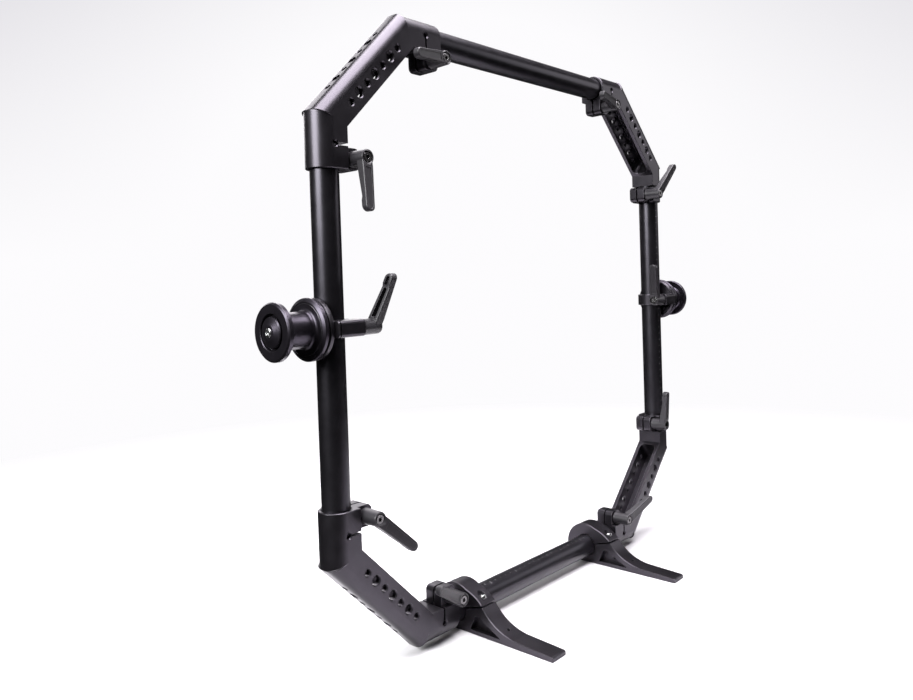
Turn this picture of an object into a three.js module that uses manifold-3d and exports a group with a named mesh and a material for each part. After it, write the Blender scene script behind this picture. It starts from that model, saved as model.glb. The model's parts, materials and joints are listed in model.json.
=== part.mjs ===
// Octagonal camera-support ring: four tubes joined by four slotted corner brackets, two spools that
// turn on the upright tubes, two clamped feet, and ten adjustable clamping levers.
// Millimetres. X runs along the ring, -Y is the front where the levers sit, +Z is up.
// The origin is the middle of the bounding box, on the surface that the feet stand on.

import * as THREE from 'three';
import { mergeVertices } from 'three/addons/utils/BufferGeometryUtils.js';
import Module from 'manifold-3d';

const wasm = await Module();
wasm.setup();

// ---------- driving dimensions ----------
const GAP = 0.3;                      // clearance between touching pieces
const RING = { width: 668, height: 668, axisAboveFloor: 24 };   // tube axis to tube axis
const TUBE = { radius: 15, wall: 2, sides: 16, endGap: 3.5 };
const BRACKET = {
  cut: 110,                           // from the virtual corner to the bend, on both tube axes
  socket: 50.5,                       // socket length past the bend
  half: 18.75,                        // half thickness, and the reach to the outer face
  inner: 17.5,                        // reach to the inner face
  socketRound: 18, diagonalRound: 14, // outer edge radii of the two sections
  wall: 6, floor: 5,                  // channel walls and channel floor
  pocketLength: 130, pocketCorner: 8,
  boreStart: 2,
};
const HOLES = { pitch: 16, count: 7, offset: 3.4, large: 5.1, small: 3.6 };
const CLAMP = {
  slot: 3, slotAt: 25.8, slotHole: 2.8, split: 2.4,
  earHalf: 12.5, earReach: 37, earCorner: 6,
};
const LEVER = {
  reach: 27, along: 39.5,             // axis position off the tube axis and past the bend
  hubBase: 8.6, hubTop: 8, hubHeight: 24.5,
  bore: 3.4, recess: 6, recessDepth: 9,
  arm: 56.5, rootWidth: 14, tipWidth: 11, armThick: 8, rise: 0.2,
  studRadius: 3, studDepth: 21.5, spoolStudDepth: 37,
  head: 5.5, headTop: 23.9, headThick: 4.1, key: 2.5, keyDepth: 2.5,
};
const SPOOL = {
  plateRadius: 31.5, plateInner: 16.8, plateOuter: 23.6,
  bandRadius: 20, bandHalf: 8.5, earFront: 37, earBack: 14, earInner: -16.5,
  splitAt: 14.6, splitWide: 1.6, leverForward: 27,
  flangeRadius: 32, flangeStart: 25, flangeEnd: 31.5, neckRadius: 18.5, rimRadius: 29, rimStart: 64.5,
  face: 71, recessRadius: 18, recessDepth: 4.5,
  axle: 7, bearing: 11, bearingWidth: 6, throat: 9,
  capRadius: 15.4, capTop: 74, screwHead: 4.8, screwShank: 3,
};
const FOOT = {
  width: 25, radius: 31, heel: 33, toe: 140, toeThick: 5.7, baseThick: 5,
  tilt: 15,                           // the split rises towards the front, degrees
  ear: 43, earStart: 120,             // reach of the front ear, and where it leaves the ring, degrees
  pocketDepth: 9, split: 0.8, frontScrew: 35, rearScrew: 23, screwShank: 2.6, screwHead: 4.4,
  counterbore: 5, headSeat: 6.5, headThick: 4, screwDepth: 11,
};
const SPOOL_HEIGHT = { left: 12.5, right: 15 };   // above the ring centre
const SPOOL_LEVER_LEAN = { left: 18, right: 6 };  // from upright towards the front, degrees
const FOOT_PLACE = { near: -147, far: 133 };      // along the bottom tube

const halfWidth = RING.width / 2;
const halfHeight = RING.height / 2;
const centreHeight = RING.axisAboveFloor + halfHeight;

// ---------- materials ----------
const finish = (color, roughness, metalness) => (
  new THREE.MeshStandardMaterial({ color, roughness, metalness }));
const anodised = finish(0x17161a, 0.42, 0.85);
const tubeBlack = finish(0x1b1b1f, 0.38, 0.7);
const leverBlack = finish(0x202024, 0.6, 0.3);
const steel = finish(0xb8b9bd, 0.3, 1.0);
const blackSteel = finish(0x2a2a2d, 0.4, 0.9);

// ---------- solid helpers ----------
function toSolid(geometry) {
  const bare = geometry.clone();
  for (const name of Object.keys(bare.attributes)) if (name !== 'position') bare.deleteAttribute(name);
  const merged = mergeVertices(bare, 1e-4);
  return new wasm.Manifold(new wasm.Mesh({
    numProp: 3,
    vertProperties: new Float32Array(merged.attributes.position.array),
    triVerts: new Uint32Array(merged.index.array),
  }));
}

function toGeometry(solid) {
  const mesh = solid.getMesh();
  const geometry = new THREE.BufferGeometry();
  geometry.setAttribute('position', new THREE.BufferAttribute(new Float32Array(mesh.vertProperties), 3));
  geometry.setIndex(new THREE.BufferAttribute(new Uint32Array(mesh.triVerts), 1));
  geometry.computeVertexNormals();
  return geometry;
}

const join = (...solids) => solids.reduce((sum, next) => sum.add(next));
const cut = (solid, ...tools) => tools.reduce((rest, tool) => rest.subtract(tool), solid);

function box(x0, x1, y0, y1, z0, z1) {
  const geometry = new THREE.BoxGeometry(x1 - x0, y1 - y0, z1 - z0);
  geometry.translate((x0 + x1) / 2, (y0 + y1) / 2, (z0 + z1) / 2);
  return toSolid(geometry);
}

// A cylinder along axis from `from` to `to`.
// With a multiple of four sides its corners lie on the other two axes.
function rod(axis, radius, from, to, sides, at = [0, 0, 0]) {
  const geometry = new THREE.CylinderGeometry(radius, radius, to - from, sides);
  geometry.translate(0, (from + to) / 2, 0);
  if (axis === 'x') geometry.rotateZ(-Math.PI / 2);
  if (axis === 'z') geometry.rotateX(Math.PI / 2);
  geometry.translate(...at);
  return toSolid(geometry);
}

// A turned piece about +X: profile points are [radius, x].
function turned(profile, sides) {
  const points = profile.map(([radius, x]) => new THREE.Vector2(radius, x));
  const geometry = new THREE.LatheGeometry(points, sides);
  geometry.rotateZ(-Math.PI / 2);
  return toSolid(geometry);
}

// An outline in the (a, b) plane pushed through the third axis between two depths.
function slab(shape, plane, from, to, curveSegments = 6) {
  const geometry = new THREE.ExtrudeGeometry(shape, { depth: to - from, bevelEnabled: false, curveSegments });
  geometry.translate(0, 0, from);
  if (plane === 'xz') {                                   // a = x, b = z, depth runs along -y
    geometry.rotateX(Math.PI / 2);
  } else if (plane === 'yz') {                            // a = y, b = z, depth runs along x
    geometry.applyMatrix4(new THREE.Matrix4().makeBasis(
      new THREE.Vector3(0, 1, 0), new THREE.Vector3(0, 0, 1), new THREE.Vector3(1, 0, 0)));
  }
  return toSolid(geometry);
}

function roundedBox(a0, a1, b0, b1, corner) {
  const shape = new THREE.Shape();
  shape.moveTo(a0 + corner, b0);
  shape.lineTo(a1 - corner, b0);
  shape.absarc(a1 - corner, b0 + corner, corner, -Math.PI / 2, 0);
  shape.lineTo(a1, b1 - corner);
  shape.absarc(a1 - corner, b1 - corner, corner, 0, Math.PI / 2);
  shape.lineTo(a0 + corner, b1);
  shape.absarc(a0 + corner, b1 - corner, corner, Math.PI / 2, Math.PI);
  shape.lineTo(a0, b0 + corner);
  shape.absarc(a0 + corner, b0 + corner, corner, Math.PI, 1.5 * Math.PI);
  return shape;
}

// Joins rings of points, all the same count and order, into one closed skin with flat ends.
function loft(rings) {
  const count = rings[0].length;
  const index = [];
  const cap = THREE.ShapeUtils.triangulateShape(rings[0].map((point) => point.flat), []);
  for (let ring = 0; ring + 1 < rings.length; ring++) {
    for (let k = 0; k < count; k++) {
      const a = ring * count + k;
      const b = ring * count + ((k + 1) % count);
      index.push(a, b, b + count, a, b + count, a + count);
    }
  }
  const last = (rings.length - 1) * count;
  for (const [a, b, c] of cap) {
    index.push(a, b, c);
    index.push(last + a, last + c, last + b);
  }
  const geometry = new THREE.BufferGeometry();
  geometry.setAttribute('position', new THREE.Float32BufferAttribute(rings.flat().flatMap((p) => p.at), 3));
  geometry.setIndex(index);
  return toSolid(geometry);
}

// ---------- corner bracket ----------
// Local frame: the virtual corner of the two tube axes, one socket along +Z and one along +X.
function bracketSection(round) {
  const { half, inner } = BRACKET;
  const points = [[inner, -half]];
  const steps = 4;
  for (let k = 0; k <= steps; k++) {
    const turn = (k / steps) * Math.PI / 2;
    points.push([round - half - round * Math.sin(turn), round - half - round * Math.cos(turn)]);
  }
  for (let k = steps; k >= 0; k--) {
    const turn = (k / steps) * Math.PI / 2;
    points.push([round - half - round * Math.sin(turn), half - round + round * Math.cos(turn)]);
  }
  points.push([inner, half]);
  return points;
}

function bracketOuter() {
  const { cut: bend, socket } = BRACKET;
  const ledge = 0.06;                                     // the diagonal's section starts just past the bend
  const diagonal = new THREE.Vector2(1, 1).normalize();
  const mitre = (side) => side.clone().add(diagonal).divideScalar(1 + side.dot(diagonal));
  const upNormal = new THREE.Vector2(1, 0);
  const alongNormal = new THREE.Vector2(0, 1);
  const ringAt = (x, z, normal, round) => bracketSection(round).map(([n, y]) => ({
    at: [x + n * normal.x, y, z + n * normal.y],
    flat: new THREE.Vector2(n, y),
  }));
  const { socketRound, diagonalRound } = BRACKET;
  return loft([
    ringAt(0, bend + socket, upNormal, socketRound),
    ringAt(0, bend, mitre(upNormal), socketRound),
    ringAt(ledge, bend - ledge, mitre(upNormal), diagonalRound),
    ringAt(bend - ledge, ledge, mitre(alongNormal), diagonalRound),
    ringAt(bend, 0, mitre(alongNormal), socketRound),
    ringAt(bend + socket, 0, alongNormal, socketRound),
  ]);
}

// Everything cut from, or added to, the upright socket; the other socket is its mirror image.
function socketTools() {
  const { cut: bend, socket, inner, half, boreStart } = BRACKET;
  const end = bend + socket;
  const slotLow = bend + CLAMP.slotAt - CLAMP.slot / 2;
  const slotHigh = slotLow + CLAMP.slot;
  const ear = slab(roundedBox(inner - 12, CLAMP.earReach, slotHigh, end, CLAMP.earCorner), 'xz',
    -CLAMP.earHalf, CLAMP.earHalf, 2);
  const beyond = 6;
  return {
    ear,
    bore: rod('z', TUBE.radius + GAP, bend + boreStart, end + beyond, TUBE.sides),
    slot: box(0, CLAMP.earReach, -half - 1, half + 1, slotLow, slotHigh),
    slotHole: rod('y', CLAMP.slotHole, -half - 1, half + 1, 6, [0, 0, (slotLow + slotHigh) / 2]),
    split: box(0, CLAMP.earReach + 1, -CLAMP.split / 2, CLAMP.split / 2, slotLow, end + beyond),
    studHole: rod('y', LEVER.studRadius + GAP, -half, half, 8, [LEVER.reach, 0, bend + LEVER.along]),
  };
}

function mirrorAcrossDiagonal(solid) {
  // swaps x and z, which also turns the solid inside out, so each triangle is reversed
  const mesh = solid.getMesh();
  const points = new Float32Array(mesh.vertProperties);
  for (let k = 0; k < points.length; k += 3) [points[k], points[k + 2]] = [points[k + 2], points[k]];
  const triangles = new Uint32Array(mesh.triVerts);
  for (let k = 0; k < triangles.length; k += 3) {
    [triangles[k + 1], triangles[k + 2]] = [triangles[k + 2], triangles[k + 1]];
  }
  return new wasm.Manifold(new wasm.Mesh({ numProp: 3, vertProperties: points, triVerts: triangles }));
}

function bracketSolid() {
  const { cut: bend, half, inner, wall, floor, pocketLength, pocketCorner } = BRACKET;
  const tools = socketTools();
  const both = (solid) => join(solid, mirrorAcrossDiagonal(solid));
  let body = join(bracketOuter(), both(tools.ear));

  // cutters made about the middle of the diagonal, with +X pointing into the ring
  const place = (geometry) => {
    geometry.rotateY(-Math.PI / 4);
    geometry.translate(bend / 2, 0, bend / 2);
    return toSolid(geometry);
  };
  const pocketShape = roundedBox(-pocketLength / 2, pocketLength / 2, wall - half, half - wall, pocketCorner);
  const pocketDepth = inner + half - floor;
  const pocket = new THREE.ExtrudeGeometry(pocketShape, {
    depth: pocketDepth + 2, bevelEnabled: false, curveSegments: 3,
  });
  pocket.applyMatrix4(new THREE.Matrix4().makeBasis(
    new THREE.Vector3(0, 0, 1), new THREE.Vector3(0, 1, 0), new THREE.Vector3(-1, 0, 0)));
  pocket.translate(inner + 2, 0, 0);
  const cutters = [place(pocket)];
  for (let k = 0; k < HOLES.count; k++) {
    const along = (k - (HOLES.count - 1) / 2) * HOLES.pitch;
    const isLarge = k % 2 === 1;
    const radius = isLarge ? HOLES.large : HOLES.small;
    const sides = isLarge ? 8 : 6;
    const through = new THREE.CylinderGeometry(radius, radius, 2 * half + 2, sides);
    through.translate(HOLES.offset, 0, along);
    const outward = new THREE.CylinderGeometry(radius, radius, 12, sides);
    outward.rotateZ(Math.PI / 2);
    outward.translate(-half, 0, along);
    cutters.push(place(through), place(outward));
  }
  return cut(body, ...cutters, both(tools.bore), both(tools.slot), both(tools.slotHole),
    both(tools.split), both(tools.studHole));
}

// ---------- tube ----------
function tubeSolid(length) {
  const outer = rod('z', TUBE.radius, -length / 2, length / 2, TUBE.sides);
  return cut(outer, rod('z', TUBE.radius - TUBE.wall, -length / 2 - 1, length / 2 + 1, TUBE.sides));
}

// ---------- clamping lever ----------
// Local frame: +X is the turning axis pointing away from the clamp, +Z is the arm's direction.
function leverHandleSolid() {
  const L = LEVER;
  const seat = L.hubHeight - L.recessDepth;
  const hub = turned([[0, 0], [L.hubBase, 0], [L.hubBase, 4], [L.hubTop, L.hubHeight - 0.8],
    [L.hubTop - 0.8, L.hubHeight], [0, L.hubHeight]], 12);
  const plan = new THREE.Shape();
  plan.moveTo(-L.rootWidth / 2, 0);
  plan.lineTo(L.rootWidth / 2, 0);
  plan.lineTo(L.tipWidth / 2, L.arm - L.tipWidth / 2);
  plan.absarc(0, L.arm - L.tipWidth / 2, L.tipWidth / 2, 0, Math.PI);
  const wide = slab(plan, 'yz', 0, 60, 4);
  const rootTop = L.hubHeight - 0.3;
  const side = new THREE.Shape();
  side.moveTo(rootTop - L.armThick - 1.5, 0);
  side.lineTo(rootTop, 0);
  side.lineTo(rootTop, 4);
  side.lineTo(rootTop + L.rise * L.arm, L.arm + 1);
  side.lineTo(rootTop + L.rise * L.arm - L.armThick - 0.6, L.arm + 1);
  side.lineTo(rootTop + L.rise * (L.arm - 11) - L.armThick - 0.6, L.arm - 10);
  side.lineTo(rootTop + L.rise * (L.arm - 15) - L.armThick + 0.8, L.arm - 14);
  side.lineTo(rootTop - L.armThick - 1.5, 7);
  const arm = wide.intersect(slab(side, 'xz', -20, 20));
  const groove = new THREE.Shape();
  groove.moveTo(-2.6, 15);
  groove.lineTo(2.6, 15);
  groove.lineTo(2.2, L.arm - 16);
  groove.lineTo(-2.2, L.arm - 16);
  const slope = new THREE.Shape();
  slope.moveTo(0, 12);
  slope.lineTo(rootTop - 3 + L.rise * 11, 12);
  slope.lineTo(rootTop - 3 + L.rise * (L.arm - 14), L.arm - 14);
  slope.lineTo(0, L.arm - 14);
  const hollow = slab(groove, 'yz', 0, 60).intersect(slab(slope, 'xz', -20, 20));
  return cut(join(hub, arm), hollow, rod('x', L.bore, -1, seat + 1, 8), rod('x', L.recess, seat, 70, 10));
}

function leverScrewSolid(studDepth) {
  const L = LEVER;
  const underHead = L.headTop - L.headThick;
  const body = turned([[0, -studDepth], [L.studRadius, -studDepth], [L.studRadius, underHead],
    [L.head, underHead], [L.head, L.headTop], [0, L.headTop]], 8);
  return cut(body, rod('x', L.key, L.headTop - L.keyDepth, L.headTop + 1, 6));
}

// ---------- spool and its tube clamp ----------
// Local frame: the upright tube's axis at the spool's height, +X pointing away from the ring.
function spoolClampSolid() {
  const S = SPOOL;
  const plate = turned([[0, S.plateInner], [S.plateRadius - 2.5, S.plateInner],
    [S.plateRadius, S.plateInner + 2], [S.plateRadius, S.plateOuter], [0, S.plateOuter]], 28);
  const band = rod('z', S.bandRadius, -S.bandHalf, S.bandHalf, 20);
  const saddle = box(0, S.plateInner + 1, -S.bandRadius, S.bandRadius, -S.bandHalf, S.bandHalf);
  const corner = 4;
  const ears = slab(roundedBox(-S.earFront, -S.earBack, -S.bandHalf, S.bandHalf, corner), 'yz',
    S.earInner, S.plateInner + 1, 2);
  const bore = rod('z', TUBE.radius + GAP, -40, 40, TUBE.sides);
  const split = box(S.splitAt, S.splitAt + S.splitWide, -S.earFront - 1, 0, -S.bandHalf - 1, S.bandHalf + 1);
  const stud = rod('x', LEVER.studRadius + GAP, S.earInner - 1, S.plateOuter, 10, [0, -S.leverForward, 0]);
  const axleSeat = rod('x', S.axle + GAP, S.plateOuter - 3, S.plateOuter + 1, 16);
  const screwHole = rod('x', S.screwShank + GAP, S.plateInner - 3, S.plateOuter, 10);
  return cut(join(plate, band, saddle, ears), bore, split, stud, axleSeat, screwHole);
}

function spoolAxleSolid() {
  const S = SPOOL;
  const start = S.plateOuter - 3 + GAP;
  const end = S.face - S.recessDepth;
  return cut(rod('x', S.axle, start, end, 16), rod('x', S.screwShank + GAP, start - 1, end + 1, 10));
}

function bearingSolid() {
  const S = SPOOL;
  return cut(rod('x', S.bearing, 0, S.bearingWidth, 16), rod('x', S.axle + GAP, -1, S.bearingWidth + 1, 16));
}

const bearingPlace = {
  inner: SPOOL.flangeStart + 1.5,
  outer: SPOOL.face - SPOOL.recessDepth - SPOOL.bearingWidth - GAP,
};

function spoolSolid() {
  const S = SPOOL;
  const seat = S.bearing + GAP;
  const innerEnd = bearingPlace.inner + S.bearingWidth + GAP;
  const outerStart = bearingPlace.outer - GAP;
  const floor = S.face - S.recessDepth;
  return turned([
    [seat, S.flangeStart], [S.flangeRadius - 1.5, S.flangeStart], [S.flangeRadius, S.flangeStart + 1.5],
    [S.flangeRadius, S.flangeEnd - 2], [S.flangeRadius - 2, S.flangeEnd], [S.neckRadius + 3, S.flangeEnd],
    [S.neckRadius, S.flangeEnd + 3],
    [S.neckRadius, S.rimStart - 3], [S.neckRadius + 3, S.rimStart],
    [S.rimRadius, S.rimStart], [S.rimRadius, S.face - 1.5],
    [S.rimRadius - 1.5, S.face], [S.recessRadius, S.face], [S.recessRadius, floor],
    [seat, floor], [seat, outerStart], [S.throat, outerStart], [S.throat, innerEnd], [seat, innerEnd],
    [seat, S.flangeStart]], 24);
}

function spoolCapSolid() {
  const S = SPOOL;
  const under = S.face - S.recessDepth + GAP;
  const cap = turned([[0, under], [S.capRadius, under], [S.capRadius, S.face + 0.6],
    [S.screwHead + 2.5, S.capTop], [0, S.capTop]], 16);
  return cut(cap, rod('x', S.screwHead + GAP, S.capTop - 2, S.capTop + 1, 14),
    rod('x', S.screwShank + GAP, under - 1, S.capTop, 10));
}

function spoolScrewSolid() {
  const S = SPOOL;
  const seat = S.capTop - 2 + GAP;
  const top = S.capTop + 1.2;
  const body = turned([[0, S.plateInner + 2], [S.screwShank, S.plateInner + 2], [S.screwShank, seat],
    [S.screwHead, seat], [S.screwHead, top - 0.8], [S.screwHead - 0.8, top], [0, top]], 14);
  return cut(body, rod('x', 2.5, top - 2, top + 1, 6));
}

// ---------- foot ----------
// Local frame: the bottom tube's axis; X along the tube, the toe points to -Y.
const floorLevel = -RING.axisAboveFloor;

const footTilt = THREE.MathUtils.degToRad(FOOT.tilt);
const splitWay = new THREE.Vector2(Math.cos(footTilt), -Math.sin(footTilt));

// A point given along the split, from front to rear, and square to it, above the tube's axis.
const onSplit = (along, above) => [
  along * splitWay.x - above * splitWay.y,
  along * splitWay.y + above * splitWay.x,
];

function footProfile() {
  const F = FOOT;
  const profile = new THREE.Shape();
  const rear = onSplit(Math.sqrt(F.radius ** 2 - F.split ** 2), -F.split);
  const front = onSplit(-F.ear, -F.split);
  profile.moveTo(-F.toe, floorLevel);
  profile.lineTo(F.heel, floorLevel);
  profile.lineTo(F.heel, floorLevel + 4);
  profile.lineTo(...rear);
  profile.lineTo(...front);
  profile.quadraticCurveTo(-58, -12, -88, -15.4);
  profile.lineTo(-F.toe + 2, floorLevel + F.toeThick);
  profile.lineTo(-F.toe, floorLevel + F.toeThick - 1.5);
  return profile;
}

// The hollow in each side of the foot, between the tube's ring, the front rib and the base.
function footPocket() {
  const base = floorLevel + FOOT.baseThick;
  const pocket = new THREE.Shape();
  pocket.moveTo(-68, base);
  pocket.lineTo(-22, base);
  pocket.lineTo(-26, -11);
  pocket.lineTo(-30, -2);
  pocket.lineTo(-37, -1);
  pocket.quadraticCurveTo(-50, -9.5, -68, base);
  return pocket;
}

const footScrewPlaces = [-FOOT.frontScrew, FOOT.rearScrew];

// Turns a solid made square to a level split so that it stands square to the tilted one.
function squareToSplit(solid) {
  return solid.rotate([-FOOT.tilt, 0, 0]);
}

function footSolid() {
  const F = FOOT;
  const half = F.width / 2;
  const body = slab(footProfile(), 'yz', -half, half, 9);
  const pocket = footPocket();
  const window = new THREE.Shape();
  window.moveTo(-50, -14);
  window.lineTo(-41, -14);
  window.lineTo(-41, -7);
  const bore = rod('x', TUBE.radius + GAP, -half - 1, half + 1, TUBE.sides);
  const mark = rod('z', 2, floorLevel - 1, 0, 8, [0, -70, 0]);
  return cut(body, slab(pocket, 'yz', -half - 1, F.pocketDepth - half, 5),
    slab(pocket, 'yz', half - F.pocketDepth, half + 1, 5), slab(window, 'yz', -half, half),
    bore, mark, ...footScrewPlaces.map((along) => squareToSplit(
      rod('z', F.screwShank + GAP, -F.screwDepth - 1, 1, 10, [0, along, 0]))));
}

function footCapSolid() {
  const F = FOOT;
  const half = F.width / 2;
  const outline = new THREE.Shape();
  outline.moveTo(...onSplit(-F.ear, F.split));
  outline.lineTo(...onSplit(Math.sqrt(F.radius ** 2 - F.split ** 2), F.split));
  const arcStart = THREE.MathUtils.degToRad(2) - footTilt;
  const arcEnd = THREE.MathUtils.degToRad(F.earStart);
  outline.absarc(0, 0, F.radius, arcStart, arcEnd);
  outline.quadraticCurveTo(-32, 21.5, ...onSplit(-F.ear, F.split));
  const body = slab(outline, 'yz', -half, half, 14);
  const bore = rod('x', TUBE.radius + GAP, -half - 1, half + 1, TUBE.sides);
  const holes = footScrewPlaces.flatMap((along) => [
    rod('z', F.screwShank + GAP, -1, 30, 10, [0, along, 0]),
    rod('z', F.counterbore, F.headSeat, 40, 10, [0, along, 0]),
  ]);
  return cut(body, bore, ...holes.map(squareToSplit));
}

function footScrewSolid() {
  const F = FOOT;
  const seat = F.headSeat + GAP;
  const profile = [[0, -F.screwDepth], [F.screwShank, -F.screwDepth], [F.screwShank, seat],
    [F.screwHead, seat], [F.screwHead, seat + F.headThick], [0, seat + F.headThick]];
  const geometry = new THREE.LatheGeometry(profile.map(([r, z]) => new THREE.Vector2(r, z)), 12);
  geometry.rotateX(Math.PI / 2);
  return cut(toSolid(geometry), rod('z', 2, seat + F.headThick - 2, seat + F.headThick + 1, 6));
}

// ---------- assembly ----------
const ring = new THREE.Group();
const rig = new THREE.Group();
rig.position.set(0, (FOOT.toe - FOOT.heel) / 2, centreHeight);
ring.add(rig);

function piece(name, geometry, material, parent = rig) {
  const mesh = new THREE.Mesh(geometry, material);
  mesh.name = name;
  parent.add(mesh);
  return mesh;
}

const bracketGeometry = toGeometry(bracketSolid());
const corners = {
  lower_left: { x: -1, z: -1, turn: 0 },
  upper_left: { x: -1, z: 1, turn: Math.PI / 2 },
  upper_right: { x: 1, z: 1, turn: Math.PI },
  lower_right: { x: 1, z: -1, turn: -Math.PI / 2 },
};
for (const [name, corner] of Object.entries(corners)) {
  const bracket = piece(`${name}_bracket`, bracketGeometry, anodised);
  bracket.position.set(corner.x * halfWidth, 0, corner.z * halfHeight);
  bracket.rotation.y = corner.turn;
}

const tubeEnd = BRACKET.cut + TUBE.endGap;
const uprightTube = toGeometry(tubeSolid(RING.height - 2 * tubeEnd));
const levelTube = toGeometry(tubeSolid(RING.width - 2 * tubeEnd));
piece('left_tube', uprightTube, tubeBlack).position.set(-halfWidth, 0, 0);
piece('right_tube', uprightTube, tubeBlack).position.set(halfWidth, 0, 0);
for (const [name, height] of [['top_tube', halfHeight], ['bottom_tube', -halfHeight]]) {
  const tube = piece(name, levelTube, tubeBlack);
  tube.position.set(0, 0, height);
  tube.rotation.y = Math.PI / 2;
}

const handleGeometry = toGeometry(leverHandleSolid());
const leverScrewGeometry = toGeometry(leverScrewSolid(LEVER.studDepth));
const spoolLeverScrewGeometry = toGeometry(leverScrewSolid(LEVER.spoolStudDepth));

// Adds a handle and its screw; armAngle is measured about the lever's axis, from the parent's +Z.
function addLever(name, parent, armAngle, screwGeometry) {
  const lever = new THREE.Group();
  lever.rotation.x = armAngle;
  parent.add(lever);
  piece(`${name}_lever`, handleGeometry, leverBlack, lever);
  piece(`${name}_lever_screw`, screwGeometry, blackSteel, lever);
}

// Arm directions of the corner levers seen from the front, degrees anticlockwise from +X.
const cornerLevers = {
  upper_left_side: { x: -1, z: 1, upright: true, arm: -98 },
  upper_left_top: { x: -1, z: 1, upright: false, arm: -174 },
  upper_right_top: { x: 1, z: 1, upright: false, arm: 174 },
  upper_right_side: { x: 1, z: 1, upright: true, arm: 54 },
  lower_right_side: { x: 1, z: -1, upright: true, arm: 104 },
  lower_right_bottom: { x: 1, z: -1, upright: false, arm: 25 },
  lower_left_side: { x: -1, z: -1, upright: true, arm: -44 },
  lower_left_bottom: { x: -1, z: -1, upright: false, arm: 149 },
};
for (const [name, lever] of Object.entries(cornerLevers)) {
  const across = LEVER.reach;
  const along = BRACKET.cut + LEVER.along;
  const mount = new THREE.Group();
  mount.position.set(
    lever.x * (halfWidth - (lever.upright ? across : along)),
    -CLAMP.earHalf - GAP,
    lever.z * (halfHeight - (lever.upright ? along : across)),
  );
  mount.rotation.z = -Math.PI / 2;                        // the lever's axis points to the front
  rig.add(mount);
  addLever(name, mount, THREE.MathUtils.degToRad(lever.arm - 90), leverScrewGeometry);
}

const spoolClampGeometry = toGeometry(spoolClampSolid());
const spoolParts = {
  axle: [toGeometry(spoolAxleSolid()), steel],
  cap: [toGeometry(spoolCapSolid()), anodised],
  screw: [toGeometry(spoolScrewSolid()), steel],
};
const spoolGeometry = toGeometry(spoolSolid());
const bearingGeometry = toGeometry(bearingSolid());
for (const [side, sign] of [['left', -1], ['right', 1]]) {
  const spool = new THREE.Group();
  spool.position.set(sign * halfWidth, 0, SPOOL_HEIGHT[side]);
  spool.rotation.y = sign < 0 ? Math.PI : 0;
  rig.add(spool);
  piece(`${side}_spool_clamp`, spoolClampGeometry, anodised, spool);
  piece(`${side}_spool`, spoolGeometry, anodised, spool);
  for (const [part, [geometry, material]] of Object.entries(spoolParts)) {
    piece(`${side}_spool_${part}`, geometry, material, spool);
  }
  for (const [place, x] of Object.entries(bearingPlace)) {
    piece(`${side}_spool_${place}_bearing`, bearingGeometry, steel, spool).position.x = x;
  }
  const mount = new THREE.Group();                        // the lever's axis points into the ring
  mount.position.set(SPOOL.earInner - GAP, -SPOOL.leverForward, 0);
  mount.rotation.y = Math.PI;
  spool.add(mount);
  const lean = THREE.MathUtils.degToRad(SPOOL_LEVER_LEAN[side]);
  addLever(`${side}_spool`, mount, sign < 0 ? lean : Math.PI - lean, spoolLeverScrewGeometry);
}

const footGeometry = toGeometry(footSolid());
const footCapGeometry = toGeometry(footCapSolid());
const footScrewGeometry = toGeometry(footScrewSolid());
for (const [name, x] of [['left', FOOT_PLACE.near], ['right', FOOT_PLACE.far]]) {
  const foot = new THREE.Group();
  foot.position.set(x, 0, -halfHeight);
  rig.add(foot);
  piece(`${name}_foot`, footGeometry, anodised, foot);
  piece(`${name}_foot_cap`, footCapGeometry, anodised, foot);
  for (const [place, along] of [['front', -FOOT.frontScrew], ['rear', FOOT.rearScrew]]) {
    const screw = piece(`${name}_foot_${place}_screw`, footScrewGeometry, steel, foot);
    screw.position.set(0, ...onSplit(along, 0));
    screw.rotation.x = -footTilt;
  }
}

export default ring;
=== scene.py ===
import json
import math

import bmesh
import bpy
from mathutils import Matrix, Vector


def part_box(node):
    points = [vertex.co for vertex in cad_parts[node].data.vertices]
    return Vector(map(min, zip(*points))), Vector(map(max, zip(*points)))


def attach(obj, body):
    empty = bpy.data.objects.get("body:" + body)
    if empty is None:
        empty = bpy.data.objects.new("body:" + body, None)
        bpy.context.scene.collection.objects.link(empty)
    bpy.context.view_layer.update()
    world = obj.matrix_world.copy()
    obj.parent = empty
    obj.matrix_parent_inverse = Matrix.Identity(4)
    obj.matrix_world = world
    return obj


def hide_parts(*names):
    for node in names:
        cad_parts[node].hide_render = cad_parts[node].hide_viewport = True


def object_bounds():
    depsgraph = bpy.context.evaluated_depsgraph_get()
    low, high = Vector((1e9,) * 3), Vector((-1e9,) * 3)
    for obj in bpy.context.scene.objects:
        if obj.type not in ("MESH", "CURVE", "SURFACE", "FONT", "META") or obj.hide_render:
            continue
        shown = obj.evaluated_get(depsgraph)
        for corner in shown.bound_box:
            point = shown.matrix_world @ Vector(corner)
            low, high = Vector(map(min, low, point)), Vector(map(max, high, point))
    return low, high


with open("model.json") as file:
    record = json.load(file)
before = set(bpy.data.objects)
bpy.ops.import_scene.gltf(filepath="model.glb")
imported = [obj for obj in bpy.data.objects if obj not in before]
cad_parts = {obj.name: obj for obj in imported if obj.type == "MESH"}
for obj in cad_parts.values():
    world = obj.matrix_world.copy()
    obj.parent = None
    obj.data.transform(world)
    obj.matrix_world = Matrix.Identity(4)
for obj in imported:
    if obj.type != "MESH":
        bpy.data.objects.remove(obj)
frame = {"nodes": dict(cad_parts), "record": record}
cad_low, cad_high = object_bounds()

MM = 0.001
GAP = 0.3            # between neighbouring pieces
SLIDING_FIT = 0.15   # between a tube and the bore that grips it
SCREW_FIT = 0.2      # between a screw and its hole
PI = math.pi

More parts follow.
